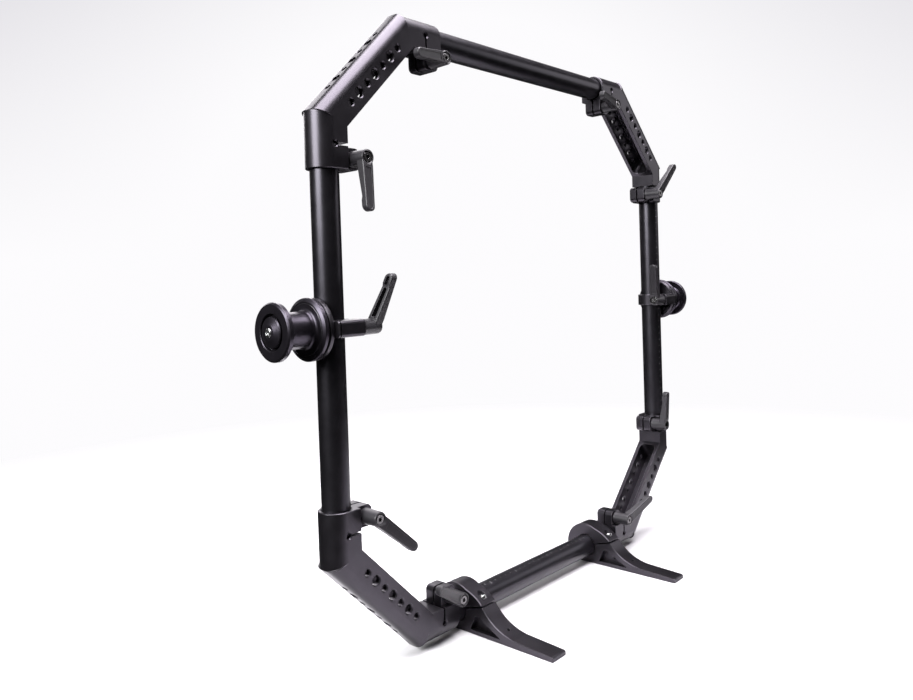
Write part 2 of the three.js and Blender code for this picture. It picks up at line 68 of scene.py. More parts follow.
BRACKET = dict(bend=110, socket=50.5, half=18.75, inner=17.5, socket_round=18, diagonal_round=14,
               wall=6, floor=5, pocket_length=130, pocket_corner=8, pocket_lip=0.6, bore_start=2,
               bore_chamfer=0.9, edge=0.7)
HOLES = dict(pitch=16, count=7, offset=3.4, large=5.1, small=3.6, chamfer=1.1, outer_chamfer=0.35)
CLAMP = dict(slot=3, slot_at=25.8, slot_hole=2.8, slot_hole_at=0.6, slot_chamfer=1.2, split=2.4,
             ear_half=12.5, ear_reach=37, ear_corner=6, ear_root=12, ear_edge=0.7)
TUBE = dict(radius=15, wall=2, edge=0.5)
SCALE = dict(pitch=10, half_width=0.3, reach=2.6, long_pitch=50, long_half_width=0.35, long_reach=4.4)
LEVER = dict(reach=27, along=39.5, hub_base=8.6, hub_top=8, hub_height=24.5, bore=3.4, recess=6,
             recess_depth=9, arm=56.5, root=14, tip=11, thick=8, rise=0.2, panel_depth=0.55, stud=3,
             stud_depth=21.5, spool_stud_depth=37, head=5.5, head_top=23.9, head_thick=4.1, key=2.5,
             key_depth=2.5)
SPOOL = dict(plate_radius=31.5, plate_inner=16.8, plate_outer=23.6, band_radius=20, band_half=8.5,
             band_edge=0.7, ear_front=37, ear_back=14, ear_inner=-16.5, ear_corner=4, ear_edge=0.8,
             split_at=14.6, split_wide=1.6, lever_forward=27, flange_radius=32, flange_start=25,
             flange_end=31.5, neck_radius=18.5, near_fillet=4, far_fillet=3, rim_radius=29,
             rim_start=64.5, face=71, recess_radius=18, recess_depth=4.5, axle=7, axle_depth=3,
             bearing=11, bearing_width=6, throat=9, cap_radius=15.4, cap_top=74, head_recess=2,
             head_rise=1.2, screw_head=4.8, screw_shank=3, screw_depth=2, key=2.5, key_depth=2)
FOOT = dict(half=12.5, radius=31, heel=33, heel_rise=4, toe=140, toe_thick=5.7, base_thick=5, drop=24,
            tilt=15, ear=43, ear_start=120, pocket_depth=9, bore_chamfer=0.75, groove=0.5,
            groove_depth=0.3, mark_hole=2, mark_hole_at=70, split=0.8, front_screw=35, rear_screw=23,
            screw_shank=2.6, screw_head=4.4, counterbore=5, head_seat=6.5, head_thick=4,
            screw_depth=11, key=2, key_depth=2)

# ---------- places taken from the frame ----------


def middle(node):
    low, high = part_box(node)
    return (low + high) / 2


left_x = middle("left_tube").x
right_x = middle("right_tube").x
top_z = middle("top_tube").z
bottom_z = middle("bottom_tube").z
tube_y = middle("left_tube").y
ring_centre = Vector(((left_x + right_x) / 2, tube_y, (bottom_z + top_z) / 2))
body_of = {node: body for body, members in frame["record"]["behaviour"]["bodies"].items() for node in members}
joint_of = {joint["name"]: joint for joint in frame["record"]["behaviour"]["joints"]}

# ---------- solids ----------


def shape(bm):
    """Turns a bmesh into a linked object, with its faces pointing out."""
    bmesh.ops.recalc_face_normals(bm, faces=bm.faces)
    mesh = bpy.data.meshes.new("shape")
    bm.to_mesh(mesh)
    bm.free()
    obj = bpy.data.objects.new("shape", mesh)
    bpy.context.scene.collection.objects.link(obj)
    return obj


def applied(obj):
    graph = bpy.context.evaluated_depsgraph_get()
    mesh = bpy.data.meshes.new_from_object(obj.evaluated_get(graph))
    obj.modifiers.clear()
    obj.data = mesh
    return obj


def combine(obj, tools, operation):
    for tool in tools:
        step = obj.modifiers.new("combine", "BOOLEAN")
        step.operation = operation
        step.solver = "MANIFOLD"
        step.object = tool
    applied(obj)
    for tool in tools:
        bpy.data.objects.remove(tool)
    return obj


def cut(obj, *tools):
    return combine(obj, tools, "DIFFERENCE")


def join(obj, *tools):
    return combine(obj, tools, "UNION")


def common(obj, *tools):
    return combine(obj, tools, "INTERSECT")


def soften(obj, width, segments=2, angle=40):
    """Rounds every edge sharper than angle."""
    step = obj.modifiers.new("soften", "BEVEL")
    step.limit_method = "ANGLE"
    step.angle_limit = math.radians(angle)
    step.width = width
    step.segments = segments
    return applied(obj)


def moved(obj, matrix):
    obj.data.transform(matrix)
    if matrix.determinant() < 0:
        obj.data.flip_normals()
    return obj


AXES = {"X": lambda a, b, along: (along, a, b), "Y": lambda a, b, along: (b, along, a),
        "Z": lambda a, b, along: (a, b, along)}


def lathe(axis, profile, sides=64, at=(0, 0, 0)):
    """Turns (radius, along) points about an axis.
    The profile starts and ends on the axis, or closes on itself."""
    bm = bmesh.new()
    place = AXES[axis]
    rings = []
    for radius, along in profile:
        count = 1 if radius < 1e-6 else sides
        turns = [2 * PI * k / sides for k in range(count)]
        points = [Vector(place(radius * math.cos(t), radius * math.sin(t), along)) for t in turns]
        rings.append([bm.verts.new(point + Vector(at)) for point in points])
    pairs = list(zip(rings, rings[1:]))
    if len(rings[0]) > 1:
        pairs.append((rings[-1], rings[0]))
    for low, high in pairs:
        for k in range(sides):
            corners = [low[k % len(low)], low[(k + 1) % len(low)],
                       high[(k + 1) % len(high)], high[k % len(high)]]
            unique = list(dict.fromkeys(corners))
            if len(unique) > 2:
                bm.faces.new(unique)
    return shape(bm)


def rod(axis, radius, low, high, sides=48, at=(0, 0, 0)):
    return lathe(axis, [(0, low), (radius, low), (radius, high), (0, high)], sides, at)


def drill(axis, radius, low, high, chamfer, sides=32, at=(0, 0, 0)):
    """A through hole from low to high whose two mouths are chamfered."""
    past = 1
    mouth = radius + chamfer + past
    return lathe(axis, [(0, low - past), (mouth, low - past), (radius, low + chamfer),
                        (radius, high - chamfer), (mouth, high + past), (0, high + past)], sides, at)


def hex_socket(axis, radius, top, depth):
    """The tool that sinks a six-sided socket for a key into a screw head."""
    return rod(axis, radius, top - depth, top + 1, 6)


def loft(rings):
    """Joins rings of points, all the same count, into one closed skin."""
    bm = bmesh.new()
    rows = [[bm.verts.new(point) for point in ring] for ring in rings]
    count = len(rows[0])
    for low, high in zip(rows, rows[1:]):
        for k in range(count):
            bm.faces.new([low[k], low[(k + 1) % count], high[(k + 1) % count], high[k]])
    bm.faces.new(rows[0][::-1])
    bm.faces.new(rows[-1])
    return shape(bm)


PLANES = {"XZ": lambda a, b, depth: (a, depth, b), "YZ": lambda a, b, depth: (depth, a, b),
          "XY": lambda a, b, depth: (a, b, depth)}


def prism(plane, outline, low, high):
    """Gives an outline in one plane a depth from low to high."""
    place = PLANES[plane]
    return loft([[Vector(place(a, b, depth)) for a, b in outline] for depth in (low, high)])


def box(x0, x1, y0, y1, z0, z1):
    return prism("XY", [(x0, y0), (x1, y0), (x1, y1), (x0, y1)], z0, z1)


def arc(a, b, radius, start, end, steps=10):
    """Points round a centre; the angles are in degrees."""
    turns = [math.radians(start + (end - start) * k / steps) for k in range(steps + 1)]
    return [(a + radius * math.cos(t), b + radius * math.sin(t)) for t in turns]


def curve(start, control, end, steps=14):
    """Points along a quadratic curve."""
    points = []
    for k in range(steps + 1):
        t = k / steps
        points.append(tuple((1 - t) ** 2 * s + 2 * t * (1 - t) * c + t * t * e
                            for s, c, e in zip(start, control, end)))
    return points


def rounded(a0, a1, b0, b1, corner, steps=8):
    """The outline of a rectangle with round corners."""
    return (arc(a1 - corner, b0 + corner, corner, -90, 0, steps)
            + arc(a1 - corner, b1 - corner, corner, 0, 90, steps)
            + arc(a0 + corner, b1 - corner, corner, 90, 180, steps)
            + arc(a0 + corner, b0 + corner, corner, 180, 270, steps))


# ---------- materials ----------


def add(tree, kind, inputs=None, **settings):
    node = tree.nodes.new(kind)
    for name, value in settings.items():
        setattr(node, name, value)
    for name, value in (inputs or {}).items():
        if isinstance(value, bpy.types.NodeSocket):
            tree.links.new(value, node.inputs[name])
        else:
            node.inputs[name].default_value = value
    return node


def maths(tree, operation, first, second=0.0, third=0.0):
    node = tree.nodes.new("ShaderNodeMath")
    node.operation = operation
    for socket, value in zip(node.inputs, (first, second, third)):
        if isinstance(value, bpy.types.NodeSocket):
            tree.links.new(value, socket)
        else:
            socket.default_value = value
    return node.outputs[0]


def ramp(tree, value, low, high, to_low=0.0, to_high=1.0):
    node = add(tree, "ShaderNodeMapRange", {"Value": value, "From Min": low, "From Max": high,
                                            "To Min": to_low, "To Max": to_high})
    return node.outputs["Result"]


def mix(tree, factor, first, second):
    node = tree.nodes.new("ShaderNodeMix")
    node.data_type = "RGBA"
    for socket, value in ((node.inputs[0], factor), (node.inputs[6], first), (node.inputs[7], second)):
        if isinstance(value, bpy.types.NodeSocket):
            tree.links.new(value, socket)
        elif socket.type == "RGBA":
            socket.default_value = (*value, 1)
        else:
            socket.default_value = value
    return node.outputs[2]


def noise(tree, vector, scale, detail=3.0, rough=0.55):
    node = add(tree, "ShaderNodeTexNoise", {"Vector": vector, "Scale": scale, "Detail": detail,
                                            "Roughness": rough})
    return node.outputs["Fac"]


def length_of(tree, vector):
    return add(tree, "ShaderNodeVectorMath", {0: vector}, operation="LENGTH").outputs["Value"]


def distance_to(tree, vector, point):
    return add(tree, "ShaderNodeVectorMath", {0: vector, 1: point}, operation="DISTANCE").outputs["Value"]


# Within EDGE_RADIUS of an edge the shading normal is rounded and the colour turns lighter: partly wear,
# partly a painted edge highlight.
EDGE_RADIUS = 0.0004      # metres; how far from an edge it looks rounded and worn
ROUGHNESS_SPREAD = 0.03   # either way, between one patch and another
MARK_COLOUR = (0.42, 0.42, 0.44)
MARK_STRENGTH = 0.45


def metal(name, colour, scuff_and_highlight_colour, metallic, roughness, grain=2.0, height=0.00001, scuff_and_highlight_strength=0.5, turned=False,
          ticks=None):
    """A coated or bare metal: mottled colour and roughness, fine grain, and lighter edges, partly wear and
    partly a painted edge highlight. Colours are linear, grain is in waves per millimetre and height in
    metres. turned adds grooves round the X axis. ticks is the side of a tube, as an angle, that its scale
    faces."""
    material = bpy.data.materials.new(name)
    material.use_nodes = True
    tree = material.node_tree
    shader = tree.nodes["Principled BSDF"]
    place = add(tree, "ShaderNodeAttribute", attribute_name="place").outputs["Vector"]
    patches = noise(tree, place, 0.05, 4.0)
    fine = noise(tree, place, grain, 2.0)
    handled = noise(tree, place, 0.4, 5.0, 0.7)
    axes = add(tree, "ShaderNodeSeparateXYZ", {"Vector": place})
    if turned:
        across = add(tree, "ShaderNodeCombineXYZ", {"Y": axes.outputs["Y"], "Z": axes.outputs["Z"]})
        rings = add(tree, "ShaderNodeCombineXYZ", {"X": axes.outputs["X"],
                                                   "Y": length_of(tree, across.outputs[0])})
        grooves = noise(tree, rings.outputs[0], 3.0, 2.0, 0.6)
        fine = maths(tree, "ADD", maths(tree, "MULTIPLY", fine, 0.35), grooves)
    rounding = add(tree, "ShaderNodeBevel", {"Radius": EDGE_RADIUS}, samples=4)
    geometry = tree.nodes.new("ShaderNodeNewGeometry")
    facing = add(tree, "ShaderNodeVectorMath", {0: rounding.outputs["Normal"], 1: geometry.outputs["Normal"]},
                 operation="DOT_PRODUCT").outputs["Value"]
    edges = ramp(tree, facing, 0.995, 0.86)
    # Lighter colour along every edge, stronger in random patches: partly wear, partly a painted edge
    # highlight.
    scuff_and_highlight_mask = maths(tree, "MULTIPLY", edges, ramp(tree, handled, 0.35, 0.68, 0.25, scuff_and_highlight_strength))
    shade = mix(tree, ramp(tree, patches, 0.3, 0.7), [c * 0.92 for c in colour], [c * 1.08 for c in colour])
    shade = mix(tree, scuff_and_highlight_mask, shade, scuff_and_highlight_colour)
    rough = ramp(tree, maths(tree, "ADD", patches, maths(tree, "MULTIPLY", handled, 0.5)), 0.5, 1.0,
                 roughness - ROUGHNESS_SPREAD, roughness + ROUGHNESS_SPREAD)
    if ticks is not None:
        mark = scale_marks(tree, axes, ticks)
        shade = mix(tree, maths(tree, "MULTIPLY", mark, MARK_STRENGTH), shade, MARK_COLOUR)
        rough = maths(tree, "MAXIMUM", rough, maths(tree, "MULTIPLY", mark, 0.6))
    bump = add(tree, "ShaderNodeBump", {"Height": fine, "Distance": height, "Strength": 0.6,
                                        "Normal": rounding.outputs["Normal"]})
    tree.links.new(shade, shader.inputs["Base Color"])
    tree.links.new(rough, shader.inputs["Roughness"])
    tree.links.new(bump.outputs["Normal"], shader.inputs["Normal"])
    shader.inputs["Metallic"].default_value = metallic
    return material


def scale_marks(tree, axes, facing):
    """Short marks along a tube, and longer ones further apart, on the side that faces `facing`."""
    radius = TUBE["radius"]
    around = maths(tree, "ARCTAN2", axes.outputs["Y"], axes.outputs["X"])
    turned = maths(tree, "WRAP", maths(tree, "SUBTRACT", around, facing), PI, -PI)
    offset = maths(tree, "MULTIPLY", turned, radius)
    along = axes.outputs["Z"]

    def near(pitch, half_width):
        from_mark = maths(tree, "ABSOLUTE", maths(tree, "WRAP", along, pitch / 2, -pitch / 2))
        return maths(tree, "LESS_THAN", from_mark, half_width)

    def within(reach):
        inside = maths(tree, "LESS_THAN", offset, reach)
        return maths(tree, "MULTIPLY", inside, maths(tree, "GREATER_THAN", offset, 0.0))

    short = maths(tree, "MULTIPLY", near(SCALE["pitch"], SCALE["half_width"]), within(SCALE["reach"]))
    long = maths(tree, "MULTIPLY", near(SCALE["long_pitch"], SCALE["long_half_width"]),
                 within(SCALE["long_reach"]))
    return maths(tree, "MAXIMUM", short, long)


anodised = metal("black_anodised", (0.046, 0.042, 0.050), (0.20, 0.195, 0.21), 0.92, 0.33, grain=2.2,
                 height=0.000012)
turned_black = metal("turned_black_anodised", (0.042, 0.037, 0.048), (0.28, 0.275, 0.29), 0.92, 0.32,
                     height=0.000003, turned=True)
lever_coat = metal("lever_powder_coat", (0.024, 0.022, 0.026), (0.12, 0.115, 0.125), 0.35, 0.38, grain=3.2,
                   height=0.00002, scuff_and_highlight_strength=0.6)
bright_steel = metal("bright_steel", (0.56, 0.56, 0.57), (0.75, 0.75, 0.75), 1.0, 0.22, grain=1.2,
                     height=0.000006, turned=True)
dark_steel = metal("black_oxide_steel", (0.12, 0.115, 0.12), (0.6, 0.6, 0.6), 1.0, 0.26, grain=1.5,
                   height=0.000008, scuff_and_highlight_strength=1.0)

# ---------- placing ----------


def finished(obj, sharp=32):
    """Merges doubled points and smooths the faces, apart from edges of more than `sharp` degrees."""
    bm = bmesh.new()
    bm.from_mesh(obj.data)
    bmesh.ops.remove_doubles(bm, verts=bm.verts, dist=1e-4)
    bmesh.ops.dissolve_degenerate(bm, edges=bm.edges, dist=1e-4)
    for face in bm.faces:
        face.smooth = True
    for edge in bm.edges:
        if len(edge.link_faces) == 2:
            edge.smooth = edge.calc_face_angle(0) < math.radians(sharp)
    bm.to_mesh(obj.data)
    bm.free()
    return obj


def put(model, node, matrix, material):
    """Copies a finished model, in millimetres, to where a CAD node is, in place of that node."""
    mesh = model.data.copy()
    mesh.name = f"{node}_detail"
    local = mesh.attributes.new("place", "FLOAT_VECTOR", "POINT")
    for vertex, value in zip(mesh.vertices, local.data):
        value.vector = vertex.co
    mesh.transform(matrix @ Matrix.Scale(MM, 4))
    mesh.materials.clear()
    mesh.materials.append(material)
    piece = bpy.data.objects.new(f"{node}_detail", mesh)
    bpy.context.scene.collection.objects.link(piece)
    weigh = piece.modifiers.new("weigh", "WEIGHTED_NORMAL")
    weigh.keep_sharp = True
    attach(piece, body_of[node])
    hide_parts(node)
    return piece


def discard(*models):
    for model in models:
        bpy.data.objects.remove(model)


def axes_matrix(origin, x_axis, z_axis):
    """The frame at origin with these two axes."""
    y_axis = z_axis.cross(x_axis)
    matrix = Matrix((x_axis, y_axis, z_axis)).transposed().to_4x4()
    matrix.translation = origin
    return matrix


# ---------- corner bracket ----------
# Local frame: the virtual corner of the two tube axes, one socket along +Z and one along +X.


def bracket_section(rounding, inset=0.0):
    """The bracket's cross-section, as (normal, y) points: round on the outside, square on the inside."""
    half = BRACKET["half"] - inset
    inner = BRACKET["inner"] - inset
    edge = BRACKET["edge"]
    rounding = rounding - inset
    points = [(inner, -half + edge), (inner - edge, -half)]
    points += arc(rounding - half, rounding - half, rounding, 270, 180)
    points += arc(rounding - half, half - rounding, rounding, 180, 90)
    return points + [(inner - edge, half), (inner, half - edge)]


def bracket_outer():
    bend = BRACKET["bend"]
    end = bend + BRACKET["socket"]
    edge = BRACKET["edge"]
    ledge = 0.25
    diagonal = Vector((1, 1)).normalized()
    up_normal = Vector((1, 0))
    along_normal = Vector((0, 1))

    def mitre(side):
        return (side + diagonal) / (1 + side.dot(diagonal))

    def ring(x, z, normal, rounding, inset=0.0):
        section = bracket_section(rounding, inset)
        return [Vector((x + n * normal.x, y, z + n * normal.y)) for n, y in section]

    socket_round = BRACKET["socket_round"]
    diagonal_round = BRACKET["diagonal_round"]
    return loft([
        ring(0, end, up_normal, socket_round, edge), ring(0, end - edge, up_normal, socket_round),
        ring(0, bend, mitre(up_normal), socket_round),
        ring(ledge, bend - ledge, mitre(up_normal), diagonal_round),
        ring(bend - ledge, ledge, mitre(along_normal), diagonal_round),
        ring(bend, 0, mitre(along_normal), socket_round), ring(end - edge, 0, along_normal, socket_round),
        ring(end, 0, along_normal, socket_round, edge)])


def swap_xz():
    return Matrix(((0, 0, 1, 0), (0, 1, 0, 0), (1, 0, 0, 0), (0, 0, 0, 1)))


def both(make):
    """The shape that make() gives, and its mirror image across the bracket's diagonal."""
    return [make(), moved(make(), swap_xz())]


def bracket_model():
    bend, half, inner = BRACKET["bend"], BRACKET["half"], BRACKET["inner"]
    end = bend + BRACKET["socket"]
    slot_low = bend + CLAMP["slot_at"] - CLAMP["slot"] / 2
    slot_high = slot_low + CLAMP["slot"]
    reach = CLAMP["ear_reach"]
    ear_half = CLAMP["ear_half"]
    bore = TUBE["radius"] + SLIDING_FIT

    def ear():
        outline = rounded(inner - CLAMP["ear_root"], reach, slot_high, end, CLAMP["ear_corner"])
        return soften(prism("XZ", outline, -ear_half, ear_half), CLAMP["ear_edge"])

    def bore_tool():
        start = bend + BRACKET["bore_start"]
        chamfer = BRACKET["bore_chamfer"]
        return lathe("Z", [(0, start), (bore, start), (bore, end - chamfer), (bore + chamfer + 1, end + 1),
                           (0, end + 1)], 72)

    def slot():
        return box(0, reach + 1, -half - 1, half + 1, slot_low, slot_high)

    def slot_hole():
        return drill("Y", CLAMP["slot_hole"], -half, half, CLAMP["slot_chamfer"], 28,
                     (CLAMP["slot_hole_at"], 0, (slot_low + slot_high) / 2))

    def split():
        return box(0, reach + 1, -CLAMP["split"] / 2, CLAMP["split"] / 2, slot_low, end + 2)

    def stud_hole():
        return rod("Y", LEVER["stud"] + SCREW_FIT, -half, half, 24,
                   (LEVER["reach"], 0, bend + LEVER["along"]))

    # cutters made about the middle of the diagonal, with +X pointing into the ring
    across = Matrix.Translation((bend / 2, 0, bend / 2)) @ Matrix.Rotation(-PI / 4, 4, "Y")
    long = BRACKET["pocket_length"] / 2
    deep = BRACKET["floor"] - half
    wide = half - BRACKET["wall"]
    corner = BRACKET["pocket_corner"]
    lip = BRACKET["pocket_lip"]
    mouth = rounded(-long - lip, long + lip, -wide - lip, wide + lip, corner + lip)
    inside = rounded(-long, long, -wide, wide, corner)
    outlines = [(inside, deep), (inside, inner - lip), (mouth, inner), (mouth, inner + 2)]
    cutters = [loft([[Vector((depth, b, a)) for a, b in outline] for outline, depth in outlines])]
    for k in range(HOLES["count"]):
        along = (k - (HOLES["count"] - 1) / 2) * HOLES["pitch"]
        radius = HOLES["large"] if k % 2 else HOLES["small"]
        edge = HOLES["outer_chamfer"]
        cutters.append(drill("Y", radius, -half, half, HOLES["chamfer"], 32, (HOLES["offset"], 0, along)))
        cutters.append(lathe("X", [(0, -half - 1), (radius + edge + 1, -half - 1), (radius, -half + edge),
                                   (radius, deep + 3), (0, deep + 3)], 32, (0, 0, along)))
    for tool in cutters:
        moved(tool, across)
    body = join(bracket_outer(), *both(ear))
    cut(body, *cutters)
    for make in (bore_tool, slot, slot_hole, split, stud_hole):
        cut(body, *both(make))
    return finished(body)


CORNERS = {
    "lower_left": (left_x, bottom_z, 0.0),
    "upper_left": (left_x, top_z, PI / 2),
    "upper_right": (right_x, top_z, PI),
    "lower_right": (right_x, bottom_z, -PI / 2),
}
bracket = bracket_model()
for name, (x, z, turn) in CORNERS.items():
    placed = Matrix.Translation((x, tube_y, z)) @ Matrix.Rotation(turn, 4, "Y")
    put(bracket, f"{name}_bracket", placed, anodised)
discard(bracket)

# ---------- tubes ----------


def tube_model(length):
    radius = TUBE["radius"]
    inside = radius - TUBE["wall"]
    half = length / 2
    edge = TUBE["edge"]
    return finished(lathe("Z", [(inside, -half), (radius - edge, -half), (radius, -half + edge),
                                (radius, half - edge), (radius - edge, half), (inside, half)], 96))


# The side of each tube that its scale faces, as an angle about the tube in its own frame. Two have no scale.
TICK_SIDES = {"left_tube": None, "right_tube": -1.85, "top_tube": None, "bottom_tube": -2.95}
for name, facing in TICK_SIDES.items():
    low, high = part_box(name)
    level = high.x - low.x > high.z - low.z
    length = (high.x - low.x if level else high.z - low.z) / MM
    turn = Matrix.Rotation(PI / 2, 4, "Y") if level else Matrix.Identity(4)
    coat = metal(f"{name}_anodised", (0.044, 0.041, 0.049), (0.22, 0.22, 0.23), 0.92, 0.31, grain=1.4,
                 height=0.000008, ticks=facing)
    tube = tube_model(length)
    put(tube, name, Matrix.Translation((low + high) / 2) @ turn, coat)
    discard(tube)

# ---------- clamping levers ----------
# Local frame: +X is the turning axis pointing away from the clamp, +Z is the arm's direction.


def lever_model():
    L = LEVER
    seat = L["hub_height"] - L["recess_depth"]
    top = L["hub_height"]
    hub_base, hub_top = L["hub_base"], L["hub_top"]
    hub = lathe("X", [(0, 0), (hub_base - 0.5, 0), (hub_base, 0.5), (hub_base, 3.2), (hub_base - 0.25, 3.6),
                      (hub_top, top - 1.2), (hub_top - 0.35, top - 0.4), (hub_top - 1.1, top), (0, top)], 56)
    tip = L["tip"] / 2
    root = L["root"] / 2
    plan = [(-root, -1), (root, -1)] + arc(0, L["arm"] - tip, tip, 0, 180, 16)
    wide = prism("YZ", plan, 0, 60)
    surface = top - 0.3
    rise = L["rise"]

    def under(z, thickness):
        return (surface + rise * z - thickness, z)

    side = [(surface - L["thick"] - 1.5, -1), (surface, -1), (surface, 3), (surface + rise * 9, 9),
            (surface + rise * L["arm"], L["arm"] + 1), under(L["arm"] + 1, L["thick"] + 0.6),
            under(L["arm"] - 11, L["thick"] + 0.6), under(L["arm"] - 15, L["thick"] - 0.8),
            (surface - L["thick"] - 1.5, 7)]
    arm = soften(common(wide, prism("XZ", side, -20, 20)), 1.3, 4, 35)

    def trough(half_near, half_far, near, far, floor, far_round):
        """A hollow in the arm's underside, `floor` below the arm's outer surface."""
        plan = [(-half_near, near), (half_near, near)] + arc(0, far - far_round, half_far, 0, 180, 8)
        slope = [(0, near - 5), (surface + rise * (near - 5) - floor, near - 5),
                 (surface + rise * (far + 5) - floor, far + 5), (0, far + 5)]
        return common(prism("YZ", plan, 0, 60), prism("XZ", slope, -20, 20))

    main = trough(2.9, 2.4, 10, L["arm"] - 15, 2.2, 2.4)
    end = trough(2.3, 2.3, L["arm"] - 12.5, L["arm"] - 2.6, 5.0, 2.3)
    # a shallow panel in the outer face, inside a raised rim
    panel_plan = [(-3.6, 11), (3.6, 11)] + arc(0, L["arm"] - 5.6, 2.9, 0, 180, 12)
    panel_floor = surface - L["panel_depth"]
    panel_slope = [(panel_floor, 0), (panel_floor + rise * 70, 70), (90, 70), (90, 0)]
    panel = common(prism("YZ", panel_plan, 0, 80), prism("XZ", panel_slope, -20, 20))
    handle = join(hub, arm)
    cut(handle, main, end, panel)
    cut(handle, rod("X", L["bore"], -1, seat + 1, 32))
    cut(handle, lathe("X", [(0, seat), (L["recess"], seat), (L["recess"], top - 0.5),
                            (L["recess"] + 1.5, top + 1), (0, top + 1)], 40))
    return finished(handle)


def lever_screw_model(stud_depth):
    L = LEVER
    stud, head, top = L["stud"], L["head"], L["head_top"]
    under = top - L["head_thick"]
    screw = lathe("X", [(0, -stud_depth), (stud - 0.6, -stud_depth), (stud, -stud_depth + 0.6), (stud, under),
                        (head, under), (head, top - 0.7), (head - 0.7, top), (0, top)], 40)
    return finished(cut(screw, hex_socket("X", L["key"], top, L["key_depth"])))


handle = lever_model()
handle_screw = lever_screw_model(LEVER["stud_depth"])
spool_handle_screw = lever_screw_model(LEVER["spool_stud_depth"])
for name in [name.removesuffix("_turn") for name in joint_of if name.endswith("_turn")]:
    joint = joint_of[f"{name}_turn"]
    axis = Vector(joint["axis"]).normalized()
    origin = Vector(joint["pos_m"])
    # the arm points to the middle of the CAD lever's far end
    points = [vertex.co - origin for vertex in frame["nodes"][f"{name}_lever"].data.vertices]
    flat = [point - axis * point.dot(axis) for point in points]
    reach = max(point.length for point in flat)
    tip_points = [point for point in flat if point.length > 0.9 * reach]
    arm_way = sum(tip_points, Vector()).normalized()
    placed = axes_matrix(origin, axis, arm_way)
    put(handle, f"{name}_lever", placed, lever_coat)
    put(spool_handle_screw if "spool" in name else handle_screw, f"{name}_lever_screw", placed, dark_steel)
discard(handle, handle_screw, spool_handle_screw)

# ---------- spools and their clamps ----------
# Local frame: the upright tube's axis at the spool's height, +X pointing away from the ring.


def spool_clamp_model():
    S = SPOOL
    radius, inner, outer = S["plate_radius"], S["plate_inner"], S["plate_outer"]
    plate = lathe("X", [(0, inner), (radius - 2.6, inner), (radius - 0.3, inner + 1.8), (radius, inner + 2.4),
                        (radius, outer - 0.9), (radius - 0.9, outer), (0, outer)], 96)
    band_half, band_radius = S["band_half"], S["band_radius"]
    edge = S["band_edge"]
    band = lathe("Z", [(0, -band_half), (band_radius - edge, -band_half), (band_radius, -band_half + edge),
                       (band_radius, band_half - edge), (band_radius - edge, band_half), (0, band_half)], 72)
    saddle = box(0, inner + 1, -band_radius, band_radius, -band_half, band_half)
    outline = rounded(-S["ear_front"], -S["ear_back"], -band_half, band_half, S["ear_corner"])
    ears = soften(prism("YZ", outline, S["ear_inner"], inner + 1), S["ear_edge"])
    clamp = join(plate, band, saddle, ears)
    cut(clamp, rod("Z", TUBE["radius"] + SLIDING_FIT, -40, 40, 72))
    cut(clamp, box(S["split_at"], S["split_at"] + S["split_wide"], -S["ear_front"] - 1, 0, -band_half - 1,
                   band_half + 1))
    stud_place = (0, -S["lever_forward"], 0)
    cut(clamp, rod("X", LEVER["stud"] + SCREW_FIT, S["ear_inner"] - 1, outer, 24, stud_place))
    cut(clamp, rod("X", S["axle"] + SCREW_FIT, outer - S["axle_depth"], outer + 1, 40))
    cut(clamp, rod("X", S["screw_shank"] + SCREW_FIT, inner - 3, outer, 24))
    return finished(clamp)


def spool_model():
    S = SPOOL
    seat = S["bearing"] + 0.1
    neck, flange, rim, face = S["neck_radius"], S["flange_radius"], S["rim_radius"], S["face"]
    start, end = S["flange_start"], S["flange_end"]
    inner_end = start + 1.5 + S["bearing_width"] + GAP
    floor = face - S["recess_depth"]
    outer_start = floor - S["bearing_width"] - 2 * GAP
    near, far = S["near_fillet"], S["far_fillet"]
    quarter = [PI / 2 * k / 6 for k in range(7)]
    near_fillet = [(neck + near - near * math.sin(t), end + near - near * math.cos(t)) for t in quarter]
    far_fillet = [(neck + far - far * math.cos(t), S["rim_start"] - far + far * math.sin(t)) for t in quarter]
    profile = [(seat, start), (flange - 1.2, start), (flange, start + 1.2), (flange, end - 2.2),
               (flange - 0.5, end - 1.5), (flange - 3.6, end), (flange - 4.4, end), (flange - 4.7, end - 0.5),
               (flange - 5.6, end - 0.5), (flange - 5.9, end)]
    profile += near_fillet + far_fillet
    profile += [(rim - 0.8, S["rim_start"]), (rim, S["rim_start"] + 0.8), (rim, face - 1.7),
                (rim - 1.5, face - 0.2), (rim - 2, face), (S["recess_radius"] + 0.6, face),
                (S["recess_radius"], face - 0.6), (S["recess_radius"], floor), (seat, floor),
                (seat, outer_start), (S["throat"], outer_start), (S["throat"], inner_end), (seat, inner_end)]
    return finished(lathe("X", profile, 128), 25)


def spool_cap_model():
    S = SPOOL
    face, top, radius, head = S["face"], S["cap_top"], S["cap_radius"], S["screw_head"]
    under = face - S["recess_depth"] + GAP
    cap = lathe("X", [(0, under), (radius, under), (radius, face - 0.3), (radius - 0.9, face + 0.6),
                      (radius - 1.6, face + 0.7), (head + 3.2, top - 0.2), (head + 2.4, top), (0, top)], 96)
    cut(cap, rod("X", head + GAP, top - S["head_recess"], top + 1, 48))
    return finished(cut(cap, rod("X", S["screw_shank"] + SCREW_FIT, under - 1, top, 32)), 25)


